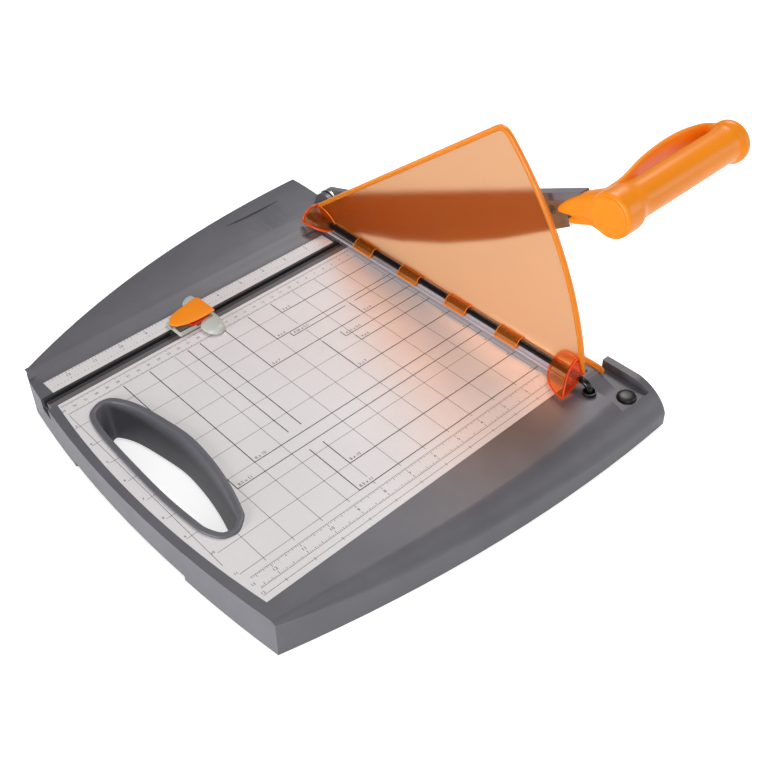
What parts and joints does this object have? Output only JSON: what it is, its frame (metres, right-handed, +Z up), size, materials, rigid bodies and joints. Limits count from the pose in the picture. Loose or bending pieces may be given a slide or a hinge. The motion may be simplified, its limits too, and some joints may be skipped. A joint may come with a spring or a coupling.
{
  "type": "paper trimmer",
  "caption": "Desk paper trimmer: hinged lever blade with a side handle behind an orange see-through guard, sprung hold-down, printed mat and a small sliding cutter on a rail",
  "frame": {"origin": "on the table under the middle of the whole trimmer's box, handle included", "axes": "+X from the carrying slot to the lever blade and on along the grip, +Y from the handle end to the fence and pivot, +Z up"},
  "size_m": [0.4868, 0.4486, 0.2297],
  "materials": {
    "base_grey": "fine-grained moulded plastic, dark warm grey",
    "mat_pale": "smooth pale sheet with printed grid and scales",
    "rail_black": "satin black moulded plastic",
    "strip_grey": "mid grey cutting strip",
    "blade_steel": "ground blade steel",
    "bracket_steel": "dark painted steel",
    "screw_steel": "bright plated steel",
    "black_rubber": "soft black rubber",
    "spring_steel": "drawn spring wire",
    "arm_grey": "dark grey moulded arm",
    "bush_brass": "plain turned bush",
    "handle_orange": "smooth satin orange plastic",
    "guard_orange": "see-through orange plastic with saturated edges",
    "rod_black": "gloss black steel rod",
    "strip_clear": "clear plastic",
    "carriage_green": "pale grey-green plastic",
    "cartridge_red": "red plastic blade holder"
  },
  "bodies": {
    "base": {"base_shell": "base_grey", "back_band": "base_grey", "mat_panel": "mat_pale", "ruler_strip": "mat_pale", "cutter_rail": "rail_black", "cutting_strip": "strip_grey", "hand_slot_rim": "base_grey", "bed_blade": "blade_steel", "bed_screws": "screw_steel", "pivot_bracket": "bracket_steel", "bracket_screws": "screw_steel", "pivot_bolt": "screw_steel", "pivot_nut": "screw_steel", "pivot_washers": "screw_steel", "bumper": "black_rubber", "feet": "black_rubber", "rod_grommets": "black_rubber", "clamp_spring_front": "spring_steel", "clamp_spring_back": "spring_steel"},
    "arm": {"arm_blade": "blade_steel", "arm_beam": "arm_grey", "arm_hub": "arm_grey", "pivot_bush": "bush_brass", "blade_screws": "screw_steel", "handle_body": "handle_orange", "handle_end_cap": "handle_orange", "handle_screws": "screw_steel"},
    "clamp": {"guard_shield": "guard_orange", "guard_front_bracket": "guard_orange", "guard_back_bracket": "guard_orange", "guard_rod": "rod_black", "rod_collars": "screw_steel", "hold_down_strip": "strip_clear"},
    "carriage": {"carriage_body": "carriage_green", "carriage_runners": "rail_black", "sight_window": "strip_clear", "lever_pin": "screw_steel", "lever_spring": "spring_steel"},
    "cutter": {"press_lever": "handle_orange", "blade_cartridge": "cartridge_red", "cutter_wheel": "blade_steel", "wheel_axle": "screw_steel"}
  },
  "joints": [
    {"name": "arm_hinge", "type": "hinge", "parent": "base", "child": "arm", "pos_m": [0.1024, 0.15676, 0.0505], "axis": [1, 0, 0], "range_deg": [-20.5, 23.7]},
    {"name": "clamp_press", "type": "slide", "parent": "base", "child": "clamp", "axis": [0, 0, 1], "range_m": [-0.0022, 0], "stiffness_N_per_m": 1200, "springref_m": 0.005, "deforming": ["clamp_spring_front", "clamp_spring_back"]},
    {"name": "carriage_slide", "type": "slide", "parent": "base", "child": "carriage", "axis": [1, 0, 0], "range_m": [-0.12, 0.128]},
    {"name": "lever_press", "type": "hinge", "parent": "carriage", "child": "cutter", "pos_m": [-0.1056, 0.11926, 0.0447], "axis": [0, 1, 0], "range_deg": [0, 4], "stiffness_Nm_per_rad": 0.5, "springref_deg": -2.86, "deforming": ["lever_spring"]}
  ]
}
